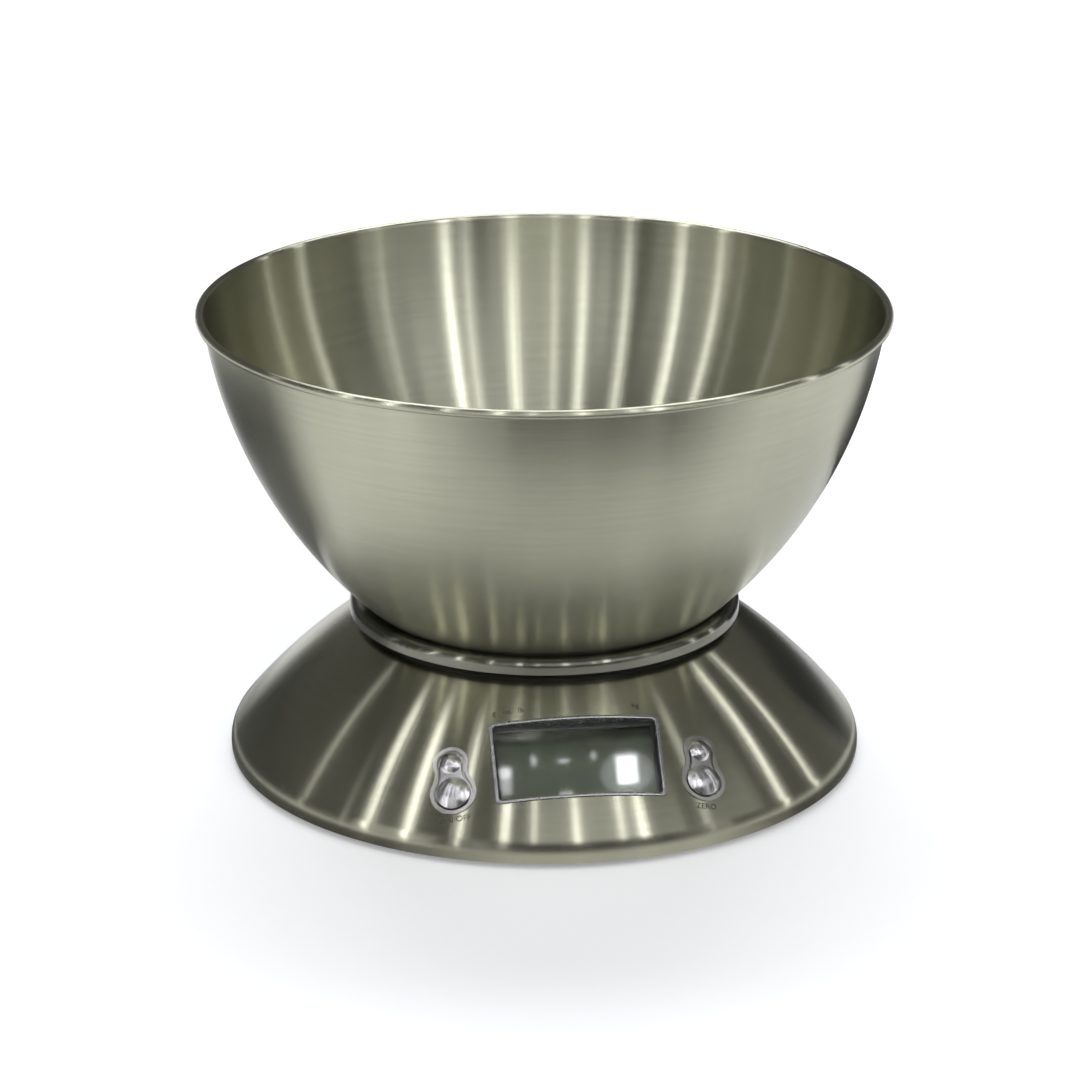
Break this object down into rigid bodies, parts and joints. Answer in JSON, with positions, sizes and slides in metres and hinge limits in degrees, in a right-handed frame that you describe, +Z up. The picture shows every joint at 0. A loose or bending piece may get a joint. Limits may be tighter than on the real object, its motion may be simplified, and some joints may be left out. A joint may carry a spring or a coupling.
{
  "type": "kitchen scale",
  "caption": "Round stainless digital kitchen scale: domed base with display and buttons, weighing platform and lift-off steel mixing bowl.",
  "frame": {"origin": "on the table, under the centre of the base", "axes": "+Z up, -Y towards the user and the display, +X to the user's right"},
  "size_m": [0.215, 0.215, 0.1455],
  "materials": {
    "bowl_steel": "circumferentially brushed stainless steel, satin",
    "platform_steel": "bright pressed stainless steel",
    "cover_steel": "circumferentially brushed stainless steel",
    "chrome_trim": "bright chrome plating",
    "surround_plastic": "satin chrome plating on plastic",
    "lens": "smoked clear acrylic",
    "lcd_glass": "unlit liquid crystal glass, dark green-grey",
    "housing_plastic": "moulded dark grey plastic",
    "tray_plastic": "moulded black plastic, fine grain",
    "carrier_plastic": "moulded grey plastic",
    "frame_plastic": "moulded white plastic",
    "foot_rubber": "black rubber",
    "seal_tape": "black adhesive foam",
    "strip_rubber": "pink-grey conductive rubber",
    "cell_alloy": "machined aluminium",
    "gauge_silicone": "white silicone",
    "board": "green board lacquer",
    "chip": "black moulded chip",
    "switch_plastic": "black switch body",
    "fastener_steel": "bright plated steel",
    "contact_nickel": "nickel plated spring steel",
    "cell_wrap_front": "printed cell sleeve",
    "wire_red": "red insulation",
    "wire_black": "black insulation",
    "wire_white": "white insulation",
    "wire_green": "green insulation"
  },
  "bodies": {
    "base": {"load_cell": "cell_alloy", "load_cell_base_screws": "fastener_steel", "gauge_coating": "gauge_silicone", "base_cover": "cover_steel", "upper_housing": "housing_plastic", "bottom_housing": "tray_plastic", "housing_screws": "fastener_steel", "display_bezel": "chrome_trim", "display_lens": "lens", "lens_seal": "seal_tape", "lcd_panel": "lcd_glass", "lcd_frame": "frame_plastic", "contact_strip_upper": "strip_rubber", "contact_strip_lower": "strip_rubber", "main_board": "board", "board_screws": "fastener_steel", "controller_chip": "chip", "foot_rear_right": "foot_rubber", "foot_rear_left": "foot_rubber", "foot_front_left": "foot_rubber", "foot_front_right": "foot_rubber", "switch_body_left": "switch_plastic", "switch_body_right": "switch_plastic", "button_surround_left": "surround_plastic", "button_surround_right": "surround_plastic", "battery_front": "cell_wrap_front", "battery_rear": "cell_wrap_front", "battery_spring_front": "contact_nickel", "battery_spring_rear": "contact_nickel", "contact_negative": "contact_nickel", "contact_positive": "contact_nickel", "contact_bridge": "contact_nickel", "gauge_wire_red": "wire_red", "gauge_wire_black": "wire_black", "gauge_wire_white": "wire_white", "gauge_wire_green": "wire_green", "battery_lead_black": "wire_black", "battery_lead_red": "wire_red"},
    "bowl_body": {"bowl": "bowl_steel"},
    "platform": {"weighing_platform": "platform_steel", "platform_carrier": "carrier_plastic", "platform_nuts": "fastener_steel", "load_cell_top_screws": "fastener_steel"},
    "left_button": {"button_left": "chrome_trim", "switch_plunger_left": "switch_plastic"},
    "right_button": {"button_right": "chrome_trim", "switch_plunger_right": "switch_plastic"},
    "door": {"battery_door": "tray_plastic"}
  },
  "joints": [
    {"name": "platform_deflection", "type": "slide", "parent": "base", "child": "platform", "axis": [0, 0, -1], "range_m": [0, 0.0008], "stiffness_N_per_m": 60000, "springref_m": -0.00008, "deforming": ["load_cell"]},
    {"name": "bowl_lift", "type": "slide", "parent": "platform", "child": "bowl_body", "axis": [0, 0, 1], "range_m": [0, 0.12]},
    {"name": "left_button_press", "type": "slide", "parent": "base", "child": "left_button", "axis": [0, 0.6733, -0.7393], "range_m": [0, 0.0006], "stiffness_N_per_m": 1500, "springref_m": -0.0004},
    {"name": "right_button_press", "type": "slide", "parent": "base", "child": "right_button", "axis": [0, 0.6733, -0.7393], "range_m": [0, 0.0006], "stiffness_N_per_m": 1500, "springref_m": -0.0004},
    {"name": "battery_door_hinge", "type": "hinge", "parent": "base", "child": "door", "pos_m": [0, 0.05755, 0.0024], "axis": [1, 0, 0], "range_deg": [0, 75]}
  ]
}
